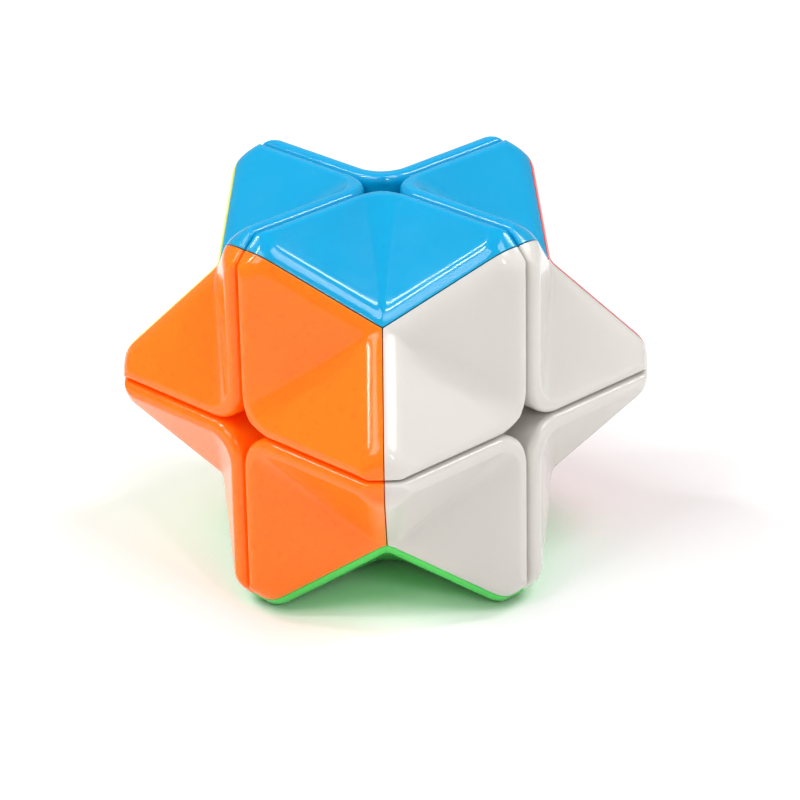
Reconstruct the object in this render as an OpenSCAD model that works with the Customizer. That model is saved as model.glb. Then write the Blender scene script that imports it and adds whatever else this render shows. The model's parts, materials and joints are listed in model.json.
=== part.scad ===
// Twelve-pointed star twisty puzzle: a 2 x 2 x 2 layer-turning puzzle whose outside is the
// stellated rhombic dodecahedron. Millimetres, +Z up, origin at the centre of the puzzle.
// Front is -Y, right is +X, top is +Z. Eight corner pieces, each with three coloured shells.

/* [Overall] */
// Size across the star, from one flat-laid ridge to the opposite one
overall_size = 60; // [50:0.5:72]
// Slope of the kite facets against the face they lie on, in degrees
facet_angle = 37.25; // [33:0.25:41]
// Length taken off each sharp tip of the star, along its diagonal
tip_blunting = 5.3; // [2:0.1:6]

/* [Outer shells] */
// Rounding radius of the ridges beside the cut planes
rim_radius = 1.4; // [0.8:0.05:1.6]
// Rounding radius of the ridges where two colours meet
seam_radius = 5; // [1.5:0.1:6]
// Height taken off every ridge to leave the narrow flat the puzzle rests on
ridge_land = 0.03; // [0.02:0.01:0.06]
// Radius of the rounded corner at the middle of each face
centre_radius = 5.8; // [3.5:0.1:7]
// Wall thickness of a coloured shell
shell_wall = 1.6; // [1.2:0.1:2]
// Radius of the assembly pegs under a shell
peg_radius = 1.45; // [1:0.05:1.6]
// Distance of the peg centres from the far cut plane
peg_offset = 12.5; // [11:0.25:14]
// Depth to which a peg enters its carrier plate
peg_depth = 1.75; // [1:0.05:2]

/* [Clearances] */
// Gap between neighbouring corner pieces
layer_gap = 0.3; // [0.2:0.05:0.5]
// Gap between two shells of one corner piece
seam_gap = 0.16; // [0.04:0.01:0.2]
// Distance each sliding face of the mechanism is set back from its nominal surface
slide_gap = 0.1; // [0.08:0.01:0.15]
// Radial fit between a peg and its hole, and under the shells
peg_fit = 0.05; // [0.03:0.01:0.1]
// Play between a screw and the hole or pocket it stands in
screw_play = 0.15; // [0.1:0.05:0.3]
// Play between the core arm and the floor of a cap
arm_play = 0.4; // [0.3:0.05:0.8]

/* [Mechanism] */
// Radius of the core ball
hub_radius = 8; // [7:0.1:9]
// Distance from the centre to the end of a core arm
arm_reach = 10.4; // [9.5:0.1:11.5]
// Thickness of the inner spherical layer that holds the feet
foot_layer = 4.9; // [4.2:0.1:5.8]
// Thickness of the outer spherical layer that holds the shoulders
shoulder_layer = 4.5; // [4:0.1:5.2]
// Half width of the hidden middle slice in the outer layer
slice_outer = 6.8; // [6:0.1:7.8]
// Half width of the hidden middle slice in the inner layer
slice_inner = 4.2; // [3.8:0.1:4.8]
// Thickness of the spherical carrier plate of a corner piece
plate_thickness = 2; // [1.5:0.1:2.4]
// Overlap that ties the neck of a piece into the layers on both sides of it
neck_overlap = 1.2; // [0.8:0.1:1.6]
// Thickness of the floor of a cap, under its spring
cap_floor = 1.4; // [1:0.1:1.8]

/* [Hardware] */
// Radius of the tension screw shank
screw_radius = 1.45; // [1.2:0.05:1.6]
// Depth from the centre to which a tension screw reaches
screw_tip = 5; // [4:0.25:6.5]
// Radius of the tension screw head
head_radius = 2.7; // [2.3:0.05:2.75]
// Height of the tension screw head
head_height = 2.1; // [1.6:0.1:2.5]
// Thickness of the washer under a screw head
washer_thickness = 0.6; // [0.4:0.05:0.8]
// Wire diameter of a tension spring
spring_wire = 0.5; // [0.4:0.05:0.6]
// Number of spring coils
spring_turns = 4; // [3:1:4]

/* [Hidden] */

$fn = 72;
half = overall_size / 2;
hg = layer_gap / 2;
// slope of the kite facets and height of the sharp star before its edges are rounded
slope = tan(facet_angle);
norm = 1 / cos(facet_angle);
star = half + ridge_land + slope * (hg + rim_radius) + rim_radius * (norm - 1);
rim_z = half + ridge_land - rim_radius;
vertex = star / (1 + slope);
r_tip = star * sqrt(2) - tip_blunting;
far = 2 * star;

// mechanism: concentric spheres and planes square to the axes only
r_foot = arm_reach + slide_gap;
r_flange = r_foot + foot_layer + slide_gap;
r_mech = r_flange + shoulder_layer;
r_plate = r_mech + slide_gap + plate_thickness;
r_shell = r_plate + peg_fit;
arm_radius = slice_inner - arm_play;
stem_base = arm_reach + arm_play;
seat = stem_base + cap_floor;
pocket = head_radius + 2 * screw_play;
washer_z = r_flange + slide_gap;
head_z = washer_z + washer_thickness;
spring_mean = (pocket + screw_radius) / 2;
// pegs stand between the neck of the carrier and the cut plane
peg_near = (slice_outer + slide_gap + hg + peg_fit) / 2;

blue = [0.13, 0.66, 0.90];
green = [0.25, 0.80, 0.33];
orange = [1.0, 0.46, 0.16];
red = [0.85, 0.16, 0.18];
white = [0.92, 0.90, 0.87];
yellow = [0.93, 0.90, 0.25];
ivory = [0.90, 0.88, 0.80];
grey = [0.45, 0.46, 0.48];
steel = [0.72, 0.73, 0.75];

// ---------- placing ----------
// quarter turns that bring the first octant to the octant with signs sx, sy
function quarter(sx, sy) = sx > 0 ? (sy > 0 ? 0 : 270) : (sy > 0 ? 90 : 180);
module on_z(sx, sy, sz) {
  if (sz > 0) rotate([0, 0, quarter(sx, sy)]) children();
  else rotate([0, 0, quarter(sx, sy) + 90]) rotate([180, 0, 0]) children();
}
module cycle() rotate([90, 0, 90]) children();
module on_x(sx, sy, sz) cycle() on_z(sy, sz, sx) children();
module on_y(sx, sy, sz) cycle() cycle() on_z(sz, sx, sy) children();
module six_ways() {
  for (q = [0:3]) rotate([90, 0, q * 90]) children();
  children();
  rotate([180, 0, 0]) children();
}

// ---------- shared solids ----------
module ball(r) sphere(r = r);
module spherical_layer(r0, r1) difference() { ball(r1); ball(r0); }
module box_from(x0, y0, z0, x1, y1, z1)
  translate([x0, y0, z0]) cube([x1 - x0, y1 - y0, z1 - z0]);

// ---------- coloured shell: kite facing +Z in the first octant ----------
// side view of one half: a sloping facet with a rounded ridge beside the cut plane
module half_profile(inset) {
  r = max(rim_radius - inset, 0.05);
  x0 = hg + inset;
  top = star - inset * norm;
  zc = top - slope * (x0 + r) - r * norm;
  union() {
    translate([x0 + r, zc]) circle(r = r, $fn = 96);
    polygon([[x0, 0], [x0, zc], [x0 + r, zc],
      [x0 + r + r * slope / norm, zc + r / norm],
      [star, top - slope * star], [star, 0]]);
  }
}
// ridge ends on the x = 0 side at height star; long way runs along y
module half_block(inset)
  translate([0, far, 0]) rotate([90, 0, 0])
    linear_extrude(height = far + 1) half_profile(inset);
module kite_roof(inset) union() {
  half_block(inset);
  mirror([1, -1, 0]) half_block(inset);
}
// wedge over the planes z = x and z = y, set back by d
module kite_wedge(d) {
  intersection() {
    translate([0, 0, d * sqrt(2)]) rotate([0, -45, 0])
      translate([0, -1, 0]) cube([far * 1.5, far * 2, far * 1.5]);
    translate([0, 0, d * sqrt(2)]) rotate([45, 0, 0])
      translate([-1, 0, 0]) cube([far * 2, far * 1.5, far * 1.5]);
  }
}
// column with the rounded inner corner that leaves the hole at the face centre
module corner_column(inset) {
  r = centre_radius - inset;
  c = hg + centre_radius;
  x0 = hg + inset;
  linear_extrude(height = half) union() {
    translate([c, c]) circle(r = r, $fn = 96);
    translate([c, x0]) square([far, far]);
    translate([x0, c]) square([far, far]);
  }
}
// rounded brow of that corner, level with the ridges on both sides
module corner_brow() {
  c = hg + centre_radius;
  union() {
    translate([c, c, 0]) rotate_extrude($fn = 96) union() {
      square([centre_radius, rim_z]);
      square([centre_radius - rim_radius, half + 1]);
      intersection() {
        translate([centre_radius - rim_radius, rim_z]) circle(r = rim_radius, $fn = 96);
        square([centre_radius + 1, half + 1]);
      }
    }
    box_from(c, -1, -1, far, far, far);
    box_from(-1, c, -1, far, far, far);
  }
}
// tool that rounds the ridge shared by two colours: it runs along the plane z = y,
// from the vertex to the tip at x = 0
module seam_round() {
  w = star - vertex;
  len = sqrt(vertex * vertex + 2 * w * w);
  theta = acos(w / len);
  phi = atan2(w, -vertex);
  // outward direction of the ridge in the turned frame
  mlen = sqrt(4 * slope * slope + 2);
  mx = (cos(theta) * (2 * slope * cos(phi) + sin(phi)) - sin(theta)) / mlen;
  my = (-2 * slope * sin(phi) + cos(phi)) / mlen;
  bend = asin(1 / (norm * sqrt(2)));
  reach = seam_radius * tan(bend);
  depth = seam_radius / cos(bend);
  translate([vertex, vertex, vertex]) rotate([0, theta, phi]) rotate([0, 0, atan2(my, mx)])
    translate([0, 0, -8]) linear_extrude(height = len + 16) difference() {
      polygon([[2, 0], [2 - reach * sin(bend), reach * cos(bend)],
        [-reach * sin(bend), reach * cos(bend)], [-depth, 0],
        [-reach * sin(bend), -reach * cos(bend)],
        [2 - reach * sin(bend), -reach * cos(bend)]]);
      translate([-depth, 0]) circle(r = seam_radius + 0.01, $fn = 120);
    }
}
module kite_half() difference() { half_block(0); seam_round(); }
module kite_body() intersection() {
  union() { kite_half(); mirror([1, -1, 0]) kite_half(); }
  corner_column(0);
  corner_brow();
  kite_wedge(seam_gap / 2);
  ball(r_tip);
}
module kite_cavity() intersection() {
  kite_roof(shell_wall);
  corner_column(shell_wall);
  kite_wedge(seam_gap / 2 + shell_wall);
  ball(r_tip - shell_wall);
}
// peg centres of one shell, parallel to the axis of its face
module at_pegs() for (p = [[peg_offset, peg_near], [peg_near, peg_offset]])
  translate([p[0], p[1], 0]) children();
module kite_pegs() intersection() {
  at_pegs() cylinder(r = peg_radius, h = far);
  kite_roof(shell_wall / 2);
}
module shell() union() {
  difference() {
    kite_body();
    kite_cavity();
    ball(r_shell);
  }
  difference() {
    kite_pegs();
    ball(r_plate - peg_depth);
  }
}

// ---------- corner carrier ----------
module three_faces() { children(); cycle() children(); cycle() cycle() children(); }
module corner_chip() linear_extrude(height = far) difference() {
  translate([-1, -1]) square(hg + centre_radius + 1);
  translate([hg + centre_radius, hg + centre_radius]) circle(r = centre_radius, $fn = 96);
}
module foot() difference() {
  union() {
    intersection() {
      spherical_layer(r_foot + slide_gap, r_flange - slide_gap);
      translate([1, 1, 1] * (slice_inner + slide_gap)) cube(far);
    }
    intersection() {
      spherical_layer(r_flange - neck_overlap, r_mech + neck_overlap);
      translate([1, 1, 1] * (slice_outer + slide_gap)) cube(far);
    }
    intersection() {
      spherical_layer(r_mech + slide_gap, r_plate);
      translate([1, 1, 1] * hg) cube(far);
    }
  }
  three_faces() corner_chip();
  three_faces() at_pegs() cylinder(r = peg_radius + peg_fit, h = far);
}

// ---------- hidden edge piece between the +Y and +Z layers ----------
module edge() union() {
  intersection() {
    spherical_layer(r_flange + slide_gap, r_mech - slide_gap);
    box_from(slide_gap - slice_outer, slice_outer + slide_gap, slice_outer + slide_gap,
      slice_outer - slide_gap, far, far);
  }
  intersection() {
    spherical_layer(r_foot + slide_gap, r_flange - slide_gap);
    box_from(slide_gap - slice_inner, slice_inner + slide_gap, slice_inner + slide_gap,
      slice_inner - slide_gap, far, far);
  }
  intersection() {
    spherical_layer(r_flange - neck_overlap, r_flange + neck_overlap);
    box_from(slide_gap - slice_inner, slice_outer + slide_gap, slice_outer + slide_gap,
      slice_inner - slide_gap, far, far);
  }
}

// ---------- centre cap on the +Z arm ----------
module cap() difference() {
  union() {
    intersection() {
      spherical_layer(r_flange + slide_gap, r_mech - slide_gap);
      box_from(slide_gap - slice_outer, slide_gap - slice_outer, 0,
        slice_outer - slide_gap, slice_outer - slide_gap, far);
    }
    translate([0, 0, stem_base])
      cylinder(r = slice_inner - slide_gap, h = r_flange + neck_overlap - stem_base);
  }
  translate([0, 0, seat]) cylinder(r = pocket, h = far);
  cylinder(r = screw_radius + screw_play, h = far);
}

// ---------- core, screws, washers, springs ----------
module core() difference() {
  union() {
    ball(hub_radius);
    six_ways() cylinder(r = arm_radius, h = arm_reach);
    six_ways() translate([0, 0, hub_radius * 0.78])
      cylinder(r1 = arm_radius + 1.5, r2 = arm_radius, h = (arm_reach - hub_radius) * 0.9);
  }
  six_ways() translate([0, 0, screw_tip - 0.5]) cylinder(r = screw_radius + 0.03, h = far);
}
module screw() difference() {
  union() {
    translate([0, 0, head_z]) cylinder(r = head_radius, h = head_height * 0.7);
    translate([0, 0, head_z + head_height * 0.7])
      cylinder(r1 = head_radius, r2 = head_radius * 0.72, h = head_height * 0.3);
    translate([0, 0, screw_tip]) cylinder(r = screw_radius, h = head_z - screw_tip);
  }
  for (q = [0, 90]) rotate([0, 0, q])
    translate([-head_radius * 0.6, -0.35, head_z + head_height / 2])
      cube([head_radius * 1.2, 0.7, head_height]);
}
module washer() translate([0, 0, washer_z]) difference() {
  cylinder(r = head_radius + screw_play, h = washer_thickness);
  translate([0, 0, -1]) cylinder(r = screw_radius + screw_play, h = washer_thickness + 2);
}
// wire swept along a helix between the cap floor and the washer
module spring() {
  steps = 16 * spring_turns;
  sides = 8;
  room = washer_z - seat - spring_wire;
  pts = [for (i = [0:steps], k = [0:sides - 1])
    let (a = i * 360 / 16, r = spring_mean + spring_wire / 2 * cos(k * 360 / sides))
    [r * cos(a), r * sin(a), room * i / steps + spring_wire / 2 * sin(k * 360 / sides)]];
  skin = [for (i = [0:steps - 1], k = [0:sides - 1])
    let (n = (k + 1) % sides)
    [i * sides + k, (i + 1) * sides + k, (i + 1) * sides + n, i * sides + n]];
  ends = [[for (k = [0:sides - 1]) k],
    [for (k = [sides - 1:-1:0]) steps * sides + k]];
  translate([0, 0, seat + spring_wire / 2]) polyhedron(pts, concat(skin, ends));
}

// ---------- the named pieces ----------
module core_spider() color(grey) core();
module tension_screws() color(steel) six_ways() screw();
module tension_springs() color(steel) six_ways() spring();
module screw_washers() color(steel) six_ways() washer();
module top_cap() color(ivory) cap();
module bottom_cap() color(ivory) rotate([180, 0, 0]) cap();
module right_cap() color(ivory) cycle() cap();
module left_cap() color(ivory) cycle() rotate([180, 0, 0]) cap();
module back_cap() color(ivory) cycle() cycle() cap();
module front_cap() color(ivory) cycle() cycle() rotate([180, 0, 0]) cap();
module top_back_edge() color(ivory) edge();
module top_front_edge() color(ivory) rotate([90, 0, 0]) edge();
module bottom_front_edge() color(ivory) rotate([180, 0, 0]) edge();
module bottom_back_edge() color(ivory) rotate([270, 0, 0]) edge();
module top_right_edge() color(ivory) cycle() edge();
module bottom_right_edge() color(ivory) cycle() rotate([90, 0, 0]) edge();
module bottom_left_edge() color(ivory) cycle() rotate([180, 0, 0]) edge();
module top_left_edge() color(ivory) cycle() rotate([270, 0, 0]) edge();
module back_right_edge() color(ivory) cycle() cycle() edge();
module back_left_edge() color(ivory) cycle() cycle() rotate([90, 0, 0]) edge();
module front_left_edge() color(ivory) cycle() cycle() rotate([180, 0, 0]) edge();
module front_right_edge() color(ivory) cycle() cycle() rotate([270, 0, 0]) edge();
module top_front_right_foot() color(ivory) on_z(1, -1, 1) foot();
module top_front_left_foot() color(ivory) on_z(-1, -1, 1) foot();
module top_back_right_foot() color(ivory) on_z(1, 1, 1) foot();
module top_back_left_foot() color(ivory) on_z(-1, 1, 1) foot();
module bottom_front_right_foot() color(ivory) on_z(1, -1, -1) foot();
module bottom_front_left_foot() color(ivory) on_z(-1, -1, -1) foot();
module bottom_back_right_foot() color(ivory) on_z(1, 1, -1) foot();
module bottom_back_left_foot() color(ivory) on_z(-1, 1, -1) foot();
module top_front_right_blue_shell() color(blue) on_z(1, -1, 1) shell();
module top_front_right_orange_shell() color(orange) on_y(1, -1, 1) shell();
module top_front_right_white_shell() color(white) on_x(1, -1, 1) shell();
module top_front_left_blue_shell() color(blue) on_z(-1, -1, 1) shell();
module top_front_left_orange_shell() color(orange) on_y(-1, -1, 1) shell();
module top_front_left_yellow_shell() color(yellow) on_x(-1, -1, 1) shell();
module top_back_right_blue_shell() color(blue) on_z(1, 1, 1) shell();
module top_back_right_red_shell() color(red) on_y(1, 1, 1) shell();
module top_back_right_white_shell() color(white) on_x(1, 1, 1) shell();
module top_back_left_blue_shell() color(blue) on_z(-1, 1, 1) shell();
module top_back_left_red_shell() color(red) on_y(-1, 1, 1) shell();
module top_back_left_yellow_shell() color(yellow) on_x(-1, 1, 1) shell();
module bottom_front_right_green_shell() color(green) on_z(1, -1, -1) shell();
module bottom_front_right_orange_shell() color(orange) on_y(1, -1, -1) shell();
module bottom_front_right_white_shell() color(white) on_x(1, -1, -1) shell();
module bottom_front_left_green_shell() color(green) on_z(-1, -1, -1) shell();
module bottom_front_left_orange_shell() color(orange) on_y(-1, -1, -1) shell();
module bottom_front_left_yellow_shell() color(yellow) on_x(-1, -1, -1) shell();
module bottom_back_right_green_shell() color(green) on_z(1, 1, -1) shell();
module bottom_back_right_red_shell() color(red) on_y(1, 1, -1) shell();
module bottom_back_right_white_shell() color(white) on_x(1, 1, -1) shell();
module bottom_back_left_green_shell() color(green) on_z(-1, 1, -1) shell();
module bottom_back_left_red_shell() color(red) on_y(-1, 1, -1) shell();
module bottom_back_left_yellow_shell() color(yellow) on_x(-1, 1, -1) shell();

core_spider();
tension_screws();
tension_springs();
screw_washers();
top_cap();
bottom_cap();
right_cap();
left_cap();
front_cap();
back_cap();
top_front_edge();
top_back_edge();
bottom_front_edge();
bottom_back_edge();
top_right_edge();
top_left_edge();
bottom_right_edge();
bottom_left_edge();
front_right_edge();
front_left_edge();
back_right_edge();
back_left_edge();
top_front_right_foot();
top_front_left_foot();
top_back_right_foot();
top_back_left_foot();
bottom_front_right_foot();
bottom_front_left_foot();
bottom_back_right_foot();
bottom_back_left_foot();
top_front_right_blue_shell();
top_front_right_orange_shell();
top_front_right_white_shell();
top_front_left_blue_shell();
top_front_left_orange_shell();
top_front_left_yellow_shell();
top_back_right_blue_shell();
top_back_right_red_shell();
top_back_right_white_shell();
top_back_left_blue_shell();
top_back_left_red_shell();
top_back_left_yellow_shell();
bottom_front_right_green_shell();
bottom_front_right_orange_shell();
bottom_front_right_white_shell();
bottom_front_left_green_shell();
bottom_front_left_orange_shell();
bottom_front_left_yellow_shell();
bottom_back_right_green_shell();
bottom_back_right_red_shell();
bottom_back_right_white_shell();
bottom_back_left_green_shell();
bottom_back_left_red_shell();
bottom_back_left_yellow_shell();
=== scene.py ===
"""Looks of the twelve-pointed star puzzle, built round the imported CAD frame.

Every coloured shell is one hollow moulding, made once as a smooth mesh for the top face's first
octant and turned into its 24 places. The hidden mechanism keeps its CAD meshes and gets materials.
Shape values are in millimetres and become metres when the mesh is made.
"""
import json
import math

import bpy
import bmesh
import numpy as np
from mathutils import Matrix, Vector


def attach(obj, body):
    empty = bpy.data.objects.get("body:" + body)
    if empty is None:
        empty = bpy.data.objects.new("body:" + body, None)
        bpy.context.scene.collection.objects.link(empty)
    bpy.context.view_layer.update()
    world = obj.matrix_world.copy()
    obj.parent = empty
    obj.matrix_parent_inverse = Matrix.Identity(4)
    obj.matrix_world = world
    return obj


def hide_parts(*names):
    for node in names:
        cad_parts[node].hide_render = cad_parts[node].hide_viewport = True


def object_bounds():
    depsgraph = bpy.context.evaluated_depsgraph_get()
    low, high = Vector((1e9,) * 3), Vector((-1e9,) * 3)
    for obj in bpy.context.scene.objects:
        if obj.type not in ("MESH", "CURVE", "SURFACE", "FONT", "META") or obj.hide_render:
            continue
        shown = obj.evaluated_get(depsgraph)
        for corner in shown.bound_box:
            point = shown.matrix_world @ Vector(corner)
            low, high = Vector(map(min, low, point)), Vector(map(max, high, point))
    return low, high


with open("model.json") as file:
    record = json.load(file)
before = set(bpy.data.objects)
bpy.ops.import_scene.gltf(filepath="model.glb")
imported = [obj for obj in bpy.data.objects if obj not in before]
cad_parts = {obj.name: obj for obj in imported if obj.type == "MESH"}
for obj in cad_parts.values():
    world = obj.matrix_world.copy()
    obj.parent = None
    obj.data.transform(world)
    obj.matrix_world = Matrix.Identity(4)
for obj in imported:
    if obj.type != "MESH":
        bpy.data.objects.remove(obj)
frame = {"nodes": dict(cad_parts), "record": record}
cad_low, cad_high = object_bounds()

# ---------------------------------------------------------------- shape of a shell, millimetres
MM = 0.001
HALF_SIZE = cad_high.z / MM
FACET_ANGLE = 37.25         # degrees by which a facet leans
FACET_SLOPE = math.tan(math.radians(FACET_ANGLE))
FACET_NORM = math.hypot(1.0, FACET_SLOPE)
HALF_LAYER_GAP = 0.15       # half the cut between two layers
RIM_RADIUS = 1.4            # rounding beside the cuts
RIDGE_LAND = 0.03           # taken off every ridge, for the narrow flat it rests on
STAR_HEIGHT = (HALF_SIZE + RIDGE_LAND + FACET_SLOPE * (HALF_LAYER_GAP + RIM_RADIUS)
               + RIM_RADIUS * (FACET_NORM - 1))
TIP_BLUNTING = 5.3          # what is taken off each sharp tip of the star
TIP_RADIUS = STAR_HEIGHT * math.sqrt(2) - TIP_BLUNTING
TIP_SOFTNESS = 1.3          # blend between the facets and the blunt tip
TIP_SIDE_SOFTNESS = 0.7     # blend between the side walls and the blunt tip
SEAM_RADIUS = 5.0           # rounding of the ridge between two colours
HALF_SEAM_GAP = 0.08        # half the gap between two colours
CENTRE_RADIUS = 5.8         # round corner of a shell at the middle of its face
EDGE_BREAK = 0.06           # small break between the skin and the side wall
VALLEY_WIDTH = 0.5          # blend between the two facets of a shell, out at the tip
VALLEY_WIDENING = 3.0       # what it gains towards the middle of the face
VALLEY_REACH = 13.0         # and how far out that is felt
SHELL_WALL = 1.6
INNER_ROUNDING = 0.3        # the hollow's edges
INNER_TIP_SOFTNESS = 0.4
UNDERSIDE_RADIUS = 22.17    # sphere that the shells end on, round the puzzle's centre

# how finely the mesh follows the shape
FILLET_ROWS = 12
FACET_ROWS = 22
VALLEY_COLUMNS = 14
MIDDLE_COLUMNS = 7
SEAM_COLUMNS = 15
VALLEY_ZONE = 5.5           # longest stretch of a row with close columns in the valley
VALLEY_SHARE = 0.36         # and the most of the row that it takes
SEAM_ZONE = 4.6             # the same at the seam
SEAM_SHARE = 0.4
FACET_CROWDING = 1.3        # powers that crowd rows and columns towards one end
VALLEY_CROWDING = 1.25
SEAM_CROWDING = 1.35
WALL_STEPS = (0.06, 0.25, 0.6, 1.0)
SHARP_ANGLE = 38            # degrees from which an edge is shaded sharp
SEARCH_BELOW = 1.5          # the skin is looked for from here under the seam's plane
SEARCH_ABOVE = 3.0          # to here above the top of the box
BISECTIONS = 46


def rounded_meet(first, second, radius, cosine):
    """Distance to two surfaces that meet in an outer edge rounded by radius.

    cosine is that of the angle between their outward directions."""
    a, b = first + radius, second + radius
    edge = np.sqrt(np.maximum(a * a + b * b - 2 * cosine * a * b, 0) / (1 - cosine ** 2))
    beside_edge = (a > cosine * b) & (b > cosine * a)
    return np.where(beside_edge, edge, np.maximum(a, b)) - radius


def soft_low(first, second, width):
    """The lower of two distances, blended where they differ by less than width."""
    near = np.maximum(width - np.abs(first - second), 0) / width
    return np.minimum(first, second) - near * near * width / 4


def soft_high(first, second, width):
    """The higher of two distances, blended where they differ by less than width."""
    return -soft_low(-first, -second, width)


class KiteSurface:
    """The skin of a shell, or of the hollow inside it when inset is the wall's thickness."""

    def __init__(self, inset):
        hollow = inset > 0
        self.wall_x = HALF_LAYER_GAP + inset
        self.corner = CENTRE_RADIUS - inset
        self.star = STAR_HEIGHT - inset * FACET_NORM
        self.tip = TIP_RADIUS - inset
        self.seam = (HALF_SEAM_GAP + inset) * math.sqrt(2)
        self.edge_break = 0.0 if hollow else EDGE_BREAK
        self.seam_top = self.seam + self.edge_break * math.sqrt(2)
        self.rim = INNER_ROUNDING if hollow else RIM_RADIUS
        self.seam_radius = INNER_ROUNDING if hollow else SEAM_RADIUS
        self.tip_softness = INNER_TIP_SOFTNESS if hollow else TIP_SOFTNESS
        self.top = HALF_SIZE - inset
        self.middle = self.wall_x + self.corner
        # the four side planes all pass through this point
        self.focus = np.array([self.wall_x, self.wall_x, self.wall_x + self.seam])

    def one_facet(self, x, y, z):
        """Facet that falls away from the plane x = 0, with the rounded ridge it shares with
        the neighbouring colour on the plane z = y."""
        here = (FACET_SLOPE * x + z - self.star) / FACET_NORM
        across = (FACET_SLOPE * x + y - self.star) / FACET_NORM
        return rounded_meet(here, across, self.seam_radius, (FACET_SLOPE / FACET_NORM) ** 2)

    def facets(self, x, y, z):
        """Distance to the two facets and their valley, which widens towards the face's middle."""
        width = VALLEY_WIDTH + VALLEY_WIDENING * np.exp(-(np.hypot(x, y) / VALLEY_REACH) ** 2)
        return soft_low(self.one_facet(x, y, z), self.one_facet(y, x, z), width)

    def ball(self, x, y, z):
        """Distance to the sphere that blunts the tips of the star."""
        return np.sqrt(x * x + y * y + z * z) - self.tip

    def side_cosine(self, x, y):
        """Cosine between the facet and the side wall, which turns round the face's middle."""
        dx, dy = self.middle - x, self.middle - y
        low = np.minimum(np.minimum(dx, dy), self.corner)
        angle = np.arctan2(np.maximum(low, 0), np.maximum(dx, dy))
        return -FACET_SLOPE / FACET_NORM * np.cos(angle)

    def side(self, x, y):
        """Distance to the side walls: two planes joined by the round corner."""
        px, py = self.middle - x, self.middle - y
        corner = np.hypot(np.maximum(px, 0), np.maximum(py, 0)) - self.corner
        flat = np.maximum(px, py) - self.corner
        return np.where((px > 0) & (py > 0), corner, flat)

    def body(self, x, y, z):
        """Distance to the whole outside, with each pair of surfaces rounded where they meet."""
        facets, side, ball = self.facets(x, y, z), self.side(x, y), self.ball(x, y, z)
        rim = rounded_meet(facets, side, self.rim, self.side_cosine(x, y))
        tip = soft_high(facets, ball, self.tip_softness)
        return np.maximum(np.maximum(rim, tip), soft_high(side, ball, TIP_SIDE_SOFTNESS))

    def rim_start(self, x, y, z):
        """Zero where the roundings of the rim and of the tip leave the side wall."""
        rim = self.facets(x, y, z) + self.rim * (1 - self.side_cosine(x, y))
        return np.maximum(rim, self.ball(x, y, z) + TIP_SIDE_SOFTNESS)

    def solve(self, inside, low, high):
        """The place between low and high where the distance function turns positive."""
        low, high = np.array(low, float), np.array(high, float)
        for _ in range(BISECTIONS):
            mid = (low + high) / 2
            under = inside(mid) < 0
            low, high = np.where(under, mid, low), np.where(under, high, mid)
        return (low + high) / 2

    def height(self, x, y, on_rim):
        """Height of the skin over these places, or of the rim's lower end if on_rim."""
        surface = self.rim_start if on_rim else self.body
        lowest = np.maximum(x, y) + self.seam_top - SEARCH_BELOW
        highest = lowest * 0 + HALF_SIZE + SEARCH_ABOVE
        found = self.solve(lambda z: surface(x, y, z), lowest, highest)
        return np.minimum(found, self.top)

    def seam_end(self, depth):
        """How far along its ridge the row at this depth runs before it meets the seam."""
        x = self.wall_x + depth
        surface = self.rim_start if depth == 0 else self.body
        return float(self.solve(lambda y: surface(np.array(x), y, y + self.seam_top),
                                np.array(x), np.array(self.star)))

    def row_depths(self):
        """Distances of the rows from the side wall, and the place of the apex."""
        sweep = math.pi / 2 + math.atan(FACET_SLOPE)
        rounding = [self.rim * (1 - math.cos(sweep * i / FILLET_ROWS))
                    for i in range(FILLET_ROWS + 1)]
        apex = float(self.solve(lambda x: self.body(x, x, x + self.seam_top),
                                np.array(self.middle), np.array(self.star)))
        reach = apex - self.wall_x - rounding[-1]
        facet = [rounding[-1] + reach * (i / FACET_ROWS) ** FACET_CROWDING
                 for i in range(1, FACET_ROWS)]
        return rounding + facet, apex

    def column_places(self, length):
        """Distances of the columns along a row, close together in the valley and at the seam."""
        valley = min(VALLEY_ZONE, VALLEY_SHARE * length)
        seam = min(SEAM_ZONE, SEAM_SHARE * length)
        first = valley * np.linspace(0, 1, VALLEY_COLUMNS, endpoint=False) ** VALLEY_CROWDING
        middle = np.linspace(valley, length - seam, MIDDLE_COLUMNS, endpoint=False)
        last = length - seam * np.linspace(1, 0, SEAM_COLUMNS) ** SEAM_CROWDING
        return np.concatenate([first, middle, last])

    def row(self, depth):
        """The points of one row, from the valley to the seam."""
        x = self.wall_x + depth
        end = self.seam_end(depth)
        radius = max(self.corner - depth, 0.0)
        arc = radius * math.pi / 4
        start = max(self.middle, x)
        along = self.column_places(arc + end - start)
        angle = math.pi / 4 - (along / radius if radius > 0 else along * 0)
        on_arc = along < arc
        px = np.where(on_arc, self.middle - radius * np.cos(angle), x)
        py = np.where(on_arc, self.middle - radius * np.sin(angle), start + along - arc)
        if depth == 0:
            px[-1] = self.wall_x
        pz = self.height(px, py, depth == 0)
        pz[-1] = py[-1] + self.seam_top
        return np.stack([px, py, pz], axis=1)

    def grid(self):
        """Rows of points over the whole kite, mirrored about its valley, and the apex."""
        depths, apex = self.row_depths()
        rows = []
        for depth in depths:
            half = self.row(depth)
            rows.append(np.concatenate([half[:0:-1, [1, 0, 2]], half]))
        return np.array(rows), np.array([apex, apex, apex + self.seam_top])

    def under(self, direction):
        """Where a ray from the focus meets the sphere under the shell."""
        ahead = float(self.focus @ direction)
        room = UNDERSIDE_RADIUS ** 2 - float(self.focus @ self.focus)
        return self.focus + direction * (math.sqrt(ahead * ahead + room) - ahead)

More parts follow.
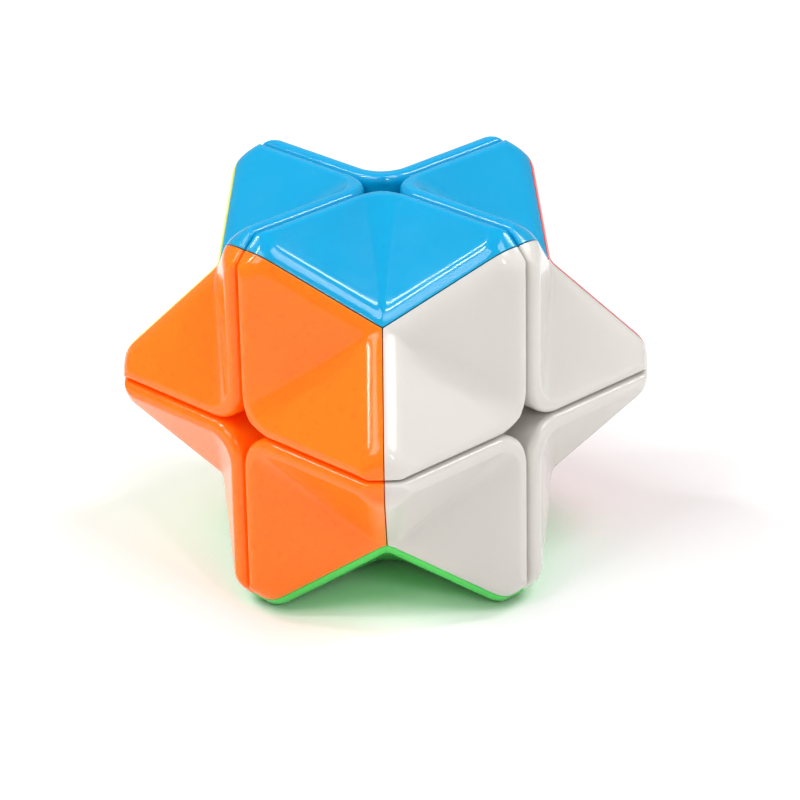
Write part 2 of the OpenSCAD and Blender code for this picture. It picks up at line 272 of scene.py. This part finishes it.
    def rim_foot(self, point, rim_end):
        """Foot of the side wall below a rim point, given in the half where y is over x."""
        x, y = point[0], point[1]
        if y <= self.middle:
            return np.array([x, y, math.sqrt(UNDERSIDE_RADIUS ** 2 - x * x - y * y)])
        corner = np.array([x, self.middle, 0.0])
        corner[2] = math.sqrt(UNDERSIDE_RADIUS ** 2 - corner @ corner)
        first = math.atan2(corner[1] - self.focus[1], corner[2] - self.focus[2])
        share = (y - self.middle) / (rim_end - self.middle)
        angle = first + (math.pi / 4 - first) * share
        return self.under(np.array([0.0, math.sin(angle), math.cos(angle)]))

    def broken_edge(self, point):
        """The seam point moved onto the seam's plane, just below the surface."""
        step = self.edge_break
        across = np.array([0.0, step, -step]) / math.sqrt(2)
        inward = self.focus - point
        return point + across + inward / np.linalg.norm(inward) * step

    def side_line(self, point, on_seam, rim_end):
        """Points from the skin down the side wall, below one point of the outline.

        rim_end is the y at which the straight part of the rim meets the seam."""
        swap = point[0] > point[1]
        p = point[[1, 0, 2]] if swap else point
        if on_seam:
            top = self.broken_edge(p)
            inward = top - self.focus
            foot = self.under(inward / np.linalg.norm(inward))
        else:
            top = p - np.array([0, 0, self.edge_break])
            foot = self.rim_foot(p, rim_end)
        line = [top] + [top + (foot - top) * share for share in WALL_STEPS]
        return [q[[1, 0, 2]] if swap else q for q in line]


def kite_skin(inset, first_index):
    """Vertices and faces of one skin with its side walls, and the outline at its foot."""
    surface = KiteSurface(inset)
    rows, apex = surface.grid()
    count, width = rows.shape[:2]
    points = [p for row in rows for p in row] + [apex]

    def number(r, c):
        return first_index + r * width + c

    apex_number = number(count, 0)
    faces = [(number(r, c), number(r, c + 1), number(r + 1, c + 1), number(r + 1, c))
             for r in range(count - 1) for c in range(width - 1)]
    faces += [(number(count - 1, c), number(count - 1, c + 1), apex_number)
              for c in range(width - 1)]
    outline = [number(0, c) for c in range(width)]
    outline += [number(r, width - 1) for r in range(1, count)] + [apex_number]
    outline += [number(r, 0) for r in range(count - 1, 0, -1)]
    rim_end = rows[0][-1][1]
    side = []
    for place, index in enumerate(outline):
        on_seam = place >= width - 1 or place == 0
        side.append(surface.side_line(points[index - first_index], on_seam, rim_end))
    for step in range(len(side[0])):
        start = first_index + len(points)
        ring = list(range(start, start + len(side)))
        points += [line[step] for line in side]
        faces += [(outline[i - 1], outline[i], ring[i], ring[i - 1])
                  for i in range(len(ring))]
        outline = ring
    return points, faces, outline


def shell_mesh():
    """The hollow shell as one closed mesh, in metres, in the first octant of the top face."""
    outer, outer_faces, outer_foot = kite_skin(0.0, 0)
    inner, inner_faces, inner_foot = kite_skin(SHELL_WALL, len(outer))
    ring = [(outer_foot[i - 1], outer_foot[i], inner_foot[i], inner_foot[i - 1])
            for i in range(len(outer_foot))]
    mesh = bpy.data.meshes.new("shell")
    points = np.array(outer + inner) * MM
    mesh.from_pydata([tuple(p) for p in points], [], outer_faces + inner_faces + ring)
    work = bmesh.new()
    work.from_mesh(mesh)
    bmesh.ops.recalc_face_normals(work, faces=work.faces)
    work.to_mesh(mesh)
    work.free()
    mesh.shade_smooth()
    mesh.set_sharp_from_angle(angle=math.radians(SHARP_ANGLE))
    return mesh


# ---------------------------------------------------------------- placing the shells
# brings X to Y, Y to Z and Z to X
CYCLE = Matrix(((0, 0, 1), (1, 0, 0), (0, 1, 0))).to_4x4()


def turn(degrees, axis):
    return Matrix.Rotation(math.radians(degrees), 4, axis)


def quarter(sx, sy):
    """Degrees about Z that bring the first quadrant to the one with these signs."""
    return {(1, 1): 0, (-1, 1): 90, (-1, -1): 180, (1, -1): 270}[(sx, sy)]


def on_z(sx, sy, sz):
    """Brings the shell of the first octant to the top or bottom face, in the octant with these
    signs. on_x and on_y do it for the side faces."""
    if sz > 0:
        return turn(quarter(sx, sy), "Z")
    return turn(quarter(sx, sy) + 90, "Z") @ turn(180, "X")


def on_x(sx, sy, sz):
    return CYCLE @ on_z(sy, sz, sx)


def on_y(sx, sy, sz):
    return CYCLE @ CYCLE @ on_z(sz, sx, sy)


# ---------------------------------------------------------------- materials
class Shader:
    """A Principled material with short ways to add the nodes that vary it."""

    def __init__(self, name):
        self.material = bpy.data.materials.new(name)
        self.material.use_nodes = True
        self.tree = self.material.node_tree
        self.bsdf = self.tree.nodes["Principled BSDF"]
        self.place = self.add("ShaderNodeTexCoord").outputs["Object"]

    def add(self, kind, **values):
        node = self.tree.nodes.new(kind)
        for key, value in values.items():
            setattr(node, key, value)
        return node

    def link(self, source, target):
        self.tree.links.new(source, target)

    def constant(self, **values):
        for key, value in values.items():
            self.bsdf.inputs[key.replace("_", " ")].default_value = value

    def noise(self, size_mm, detail=3.0, roughness=0.5, stretch=None):
        """Noise whose features are about size_mm across, optionally stretched per axis."""
        source = self.place
        if stretch:
            mapping = self.add("ShaderNodeMapping")
            mapping.inputs["Scale"].default_value = stretch
            self.link(source, mapping.inputs["Vector"])
            source = mapping.outputs["Vector"]
        node = self.add("ShaderNodeTexNoise")
        node.inputs["Scale"].default_value = 1 / (size_mm * MM)
        node.inputs["Detail"].default_value = detail
        node.inputs["Roughness"].default_value = roughness
        self.link(source, node.inputs["Vector"])
        return node.outputs["Fac"]

    def spread(self, value, low, high, start=0.3, stop=0.7):
        """Maps a value from start..stop to low..high."""
        node = self.add("ShaderNodeMapRange")
        node.inputs["From Min"].default_value = start
        node.inputs["From Max"].default_value = stop
        node.inputs["To Min"].default_value = low
        node.inputs["To Max"].default_value = high
        self.link(value, node.inputs["Value"])
        return node.outputs["Result"]

    def mix(self, factor, first, second):
        """Mixes two colours, given as values or as outputs of other nodes."""
        node = self.add("ShaderNodeMix", data_type="RGBA")
        self.link(factor, node.inputs["Factor"])
        for name, value in (("A", first), ("B", second)):
            socket = [s for s in node.inputs if s.name == name and s.type == "RGBA"][0]
            if isinstance(value, bpy.types.NodeSocket):
                self.link(value, socket)
            else:
                socket.default_value = (*value, 1)
        return [s for s in node.outputs if s.type == "RGBA"][0]

    def bump(self, height, strength, depth_mm, base=None):
        node = self.add("ShaderNodeBump")
        node.inputs["Strength"].default_value = strength
        node.inputs["Distance"].default_value = depth_mm * MM
        self.link(height, node.inputs["Height"])
        if base is not None:
            self.link(base, node.inputs["Normal"])
        return node.outputs["Normal"]


def shaded(colour, factor):
    return tuple(min(c * factor, 1.0) for c in colour)


def gloss_plastic(name, colour, speck_and_painted_glow_colour, painted_glow=0.0):
    """Polished moulded ABS: flow marks and specks in the colour, faint handling haze, fine ripple.
    The glow is painted light: emission in the speck colour, fitted to the photo, which lifts
    the colour in shade, in the grooves and in the face holes in place of light bounced there."""
    s = Shader(name)
    # the emission is a painted glow: light given off by the plastic itself, lifting it in shade
    # and in the face holes
    s.constant(IOR=1.5, Subsurface_Weight=0.7, Subsurface_Scale=0.0025,
               Emission_Strength=painted_glow)
    s.bsdf.inputs["Emission Color"].default_value = (*speck_and_painted_glow_colour, 1)
    s.bsdf.inputs["Specular IOR Level"].default_value = 0.33
    s.bsdf.inputs["Subsurface Radius"].default_value = tuple(0.12 + 0.88 * c for c in colour)
    flow = s.spread(s.noise(14, 2.0, 0.45, (1.0, 1.0, 0.55)), 0, 1)
    speck = s.spread(s.noise(1.1, 3.0, 0.6), 0, 0.25, start=0.55, stop=0.8)
    tint = s.mix(flow, shaded(colour, 0.97), shaded(colour, 1.02))
    s.link(s.mix(speck, tint, speck_and_painted_glow_colour), s.bsdf.inputs["Base Color"])
    s.link(s.spread(s.noise(6, 4.0, 0.6), 0.08, 0.15), s.bsdf.inputs["Roughness"])
    ripple = s.bump(s.noise(3.5, 2.0, 0.4), 0.10, 0.02)
    peel = s.bump(s.noise(0.5, 2.0, 0.5), 0.06, 0.006, ripple)
    s.link(peel, s.bsdf.inputs["Normal"])
    return s.material


def matte_plastic(name, colour, grain_mm=0.25, roughness=0.42):
    """Spark-eroded moulded plastic: fine grain, with slightly polished and lighter patches."""
    s = Shader(name)
    s.constant(IOR=1.48)
    rub = s.spread(s.noise(5, 4.0, 0.6, (1.0, 0.5, 1.0)), 0, 1, start=0.4, stop=0.65)
    s.link(s.mix(rub, colour, shaded(colour, 1.1)), s.bsdf.inputs["Base Color"])
    s.link(s.spread(rub, roughness + 0.12, roughness - 0.08, start=0, stop=1),
           s.bsdf.inputs["Roughness"])
    s.link(s.bump(s.noise(grain_mm, 3.0, 0.6), 0.25, 0.03), s.bsdf.inputs["Normal"])
    return s.material


def drawn_steel(name, colour, stretch, roughness):
    """Metal with fine marks along one direction and a cloudy finish."""
    s = Shader(name)
    s.constant(Metallic=1.0)
    cloud = s.spread(s.noise(2.5, 3.0, 0.6), 0, 1)
    marks = s.noise(0.15, 3.0, 0.6, stretch)
    s.link(s.mix(cloud, shaded(colour, 0.86), shaded(colour, 1.05)),
           s.bsdf.inputs["Base Color"])
    s.link(s.spread(marks, roughness - 0.07, roughness + 0.1), s.bsdf.inputs["Roughness"])
    s.link(s.bump(marks, 0.18, 0.01), s.bsdf.inputs["Normal"])
    return s.material


# the colour, the deeper colour of its specks and of its painted glow, and the strength of that
# painted glow where there is one
SHELL_COLOURS = {
    "blue": ((0.001, 0.325, 0.585), (0.001, 0.27, 0.52)),
    "green": ((0.085, 0.700, 0.110), (0.05, 0.56, 0.08)),
    # orange's 0.12 is a painted glow: emission that lifts the orange in shade, in the grooves and
    # in the face holes
    "orange": ((0.990, 0.188, 0.005), (0.96, 0.060, 0.001), 0.12),
    "red": ((0.620, 0.030, 0.040), (0.52, 0.02, 0.02)),
    "white": ((0.640, 0.614, 0.576), (0.59, 0.560, 0.495)),
    "yellow": ((0.680, 0.710, 0.080), (0.58, 0.60, 0.05)),
}
shell_materials = {name: gloss_plastic(name + "_gloss_plastic", *look)
                   for name, look in SHELL_COLOURS.items()}
HIDDEN_MATERIALS = {
    "feet": matte_plastic("foot_plastic", (0.70, 0.66, 0.55)),
    "edges": matte_plastic("edge_plastic", (0.66, 0.63, 0.53), 0.3, 0.38),
    "caps": matte_plastic("cap_plastic", (0.68, 0.65, 0.56), 0.22, 0.45),
    "core": matte_plastic("core_nylon", (0.19, 0.20, 0.22), 0.35, 0.5),
    "tension_screws": drawn_steel("screw_zinc", (0.62, 0.62, 0.64), (1, 1, 6), 0.3),
    "tension_springs": drawn_steel("spring_wire", (0.55, 0.55, 0.57), (4, 4, 1), 0.25),
    "screw_washers": drawn_steel("washer_steel", (0.66, 0.66, 0.68), (1, 5, 1), 0.34),
}

# ---------------------------------------------------------------- the pieces
FACES = {
    "blue": on_z, "green": on_z,
    "orange": on_y, "red": on_y,
    "white": on_x, "yellow": on_x,
}
SIGNS = {"top": 1, "bottom": -1, "front": -1, "back": 1, "right": 1, "left": -1}


def make_shell(node, canonical):
    """The smooth shell that stands for one CAD shell, named like top_front_left_blue_shell."""
    level, depth, side, colour, _ = node.split("_")
    signs = SIGNS[side], SIGNS[depth], SIGNS[level]
    mesh = canonical.copy()
    mesh.name = node + "_mesh"
    mesh.transform(FACES[colour](*signs))
    mesh.materials.append(shell_materials[colour])
    piece = bpy.data.objects.new(node + "_skin", mesh)
    bpy.context.scene.collection.objects.link(piece)
    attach(piece, f"{level}_{depth}_{side}_corner")
    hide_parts(node)


canonical_shell = shell_mesh()
slot_of = {part["node"]: part["material_slot"] for part in frame["record"]["subparts"]}
for node_name, cad_object in sorted(frame["nodes"].items()):
    if node_name.endswith("_shell"):
        make_shell(node_name, canonical_shell)
    else:
        cad_object.data.materials.clear()
        cad_object.data.materials.append(HIDDEN_MATERIALS[slot_of[node_name]])

# ---------------------------------------------------------------- camera
AZIMUTH, ELEVATION, ROLL = (math.radians(a) for a in (45.8, 24.2, -1.2))
DISTANCE = 0.55
TOWARDS = Vector((math.sin(AZIMUTH) * math.cos(ELEVATION),
                  -math.cos(AZIMUTH) * math.cos(ELEVATION), math.sin(ELEVATION)))
RIGHT = Vector((math.cos(AZIMUTH), math.sin(AZIMUTH), 0))
UP = TOWARDS.cross(RIGHT)

camera_data = bpy.data.cameras.new("camera")
camera_data.lens = 164.3
camera_data.sensor_width = 36
camera_data.shift_x = 0.0179
camera_data.shift_y = -0.0395
camera_data.clip_start = 0.01
camera_data.clip_end = 20
camera = bpy.data.objects.new("camera", camera_data)
bpy.context.scene.collection.objects.link(camera)
across = math.cos(ROLL) * RIGHT + math.sin(ROLL) * UP
above = -math.sin(ROLL) * RIGHT + math.cos(ROLL) * UP
camera.matrix_world = Matrix((
    (across.x, above.x, TOWARDS.x, TOWARDS.x * DISTANCE),
    (across.y, above.y, TOWARDS.y, TOWARDS.y * DISTANCE),
    (across.z, above.z, TOWARDS.z, TOWARDS.z * DISTANCE),
    (0, 0, 0, 1)))
bpy.context.scene.camera = camera

# ---------------------------------------------------------------- light and floor
LEVEL_TOWARDS = Vector((math.sin(AZIMUTH), -math.cos(AZIMUTH), 0))
SOFTBOX_DISTANCE = 0.9
FLOOR_REACH = 4.0


def softbox(name, direction, size, power):
    """A softbox that faces the puzzle from a direction given as its shares to the right,
    towards the camera and up. size is its width and its height, power is in watts."""
    right, towards, up = direction
    data = bpy.data.lights.new(name, "AREA")
    data.shape = "RECTANGLE"
    data.size, data.size_y = size
    data.energy = power
    lamp = bpy.data.objects.new(name, data)
    outward = (right * RIGHT + towards * LEVEL_TOWARDS + up * Vector((0, 0, 1))).normalized()
    lamp.location = outward * SOFTBOX_DISTANCE
    lamp.rotation_mode = "QUATERNION"
    lamp.rotation_quaternion = outward.to_track_quat("Z", "Y")
    bpy.context.scene.collection.objects.link(lamp)


softbox("left_rear_strip", (-0.62, -0.19, 0.76), (0.06, 0.30), 1.4)
softbox("left_strip", (-0.62, 0.12, 0.78), (0.07, 0.30), 2.2)
softbox("right_strip", (0.66, -0.17, 0.74), (0.07, 0.34), 1.9)
softbox("front_strip", (0.33, 0.78, 0.54), (0.05, 0.20), 0.8)
softbox("left_key", (-0.45, 0.45, 0.78), (0.35, 0.35), 2.3)
softbox("right_key", (0.40, 0.30, 0.85), (0.35, 0.35), 2.9)

world = bpy.data.worlds.new("studio")
world.use_nodes = True
world.node_tree.nodes["Background"].inputs["Color"].default_value = (1, 1, 1, 1)
world.node_tree.nodes["Background"].inputs["Strength"].default_value = 0.45
bpy.context.scene.world = world
bpy.context.scene.view_settings.view_transform = "Standard"


def floor():
    """A wide pale table top under the puzzle."""
    s = Shader("pale_floor")
    s.constant(Roughness=0.6)
    cloud = s.spread(s.noise(180, 2.0, 0.5), 0, 1)
    s.link(s.mix(cloud, (0.88, 0.88, 0.88), (0.91, 0.91, 0.91)), s.bsdf.inputs["Base Color"])
    mesh = bpy.data.meshes.new("floor")
    corners = [(sx * FLOOR_REACH, sy * FLOOR_REACH, cad_low.z)
               for sx, sy in ((-1, -1), (1, -1), (1, 1), (-1, 1))]
    mesh.from_pydata(corners, [], [(0, 1, 2, 3)])
    mesh.materials.append(s.material)
    ground = bpy.data.objects.new("floor", mesh)
    bpy.context.scene.collection.objects.link(ground)


floor()
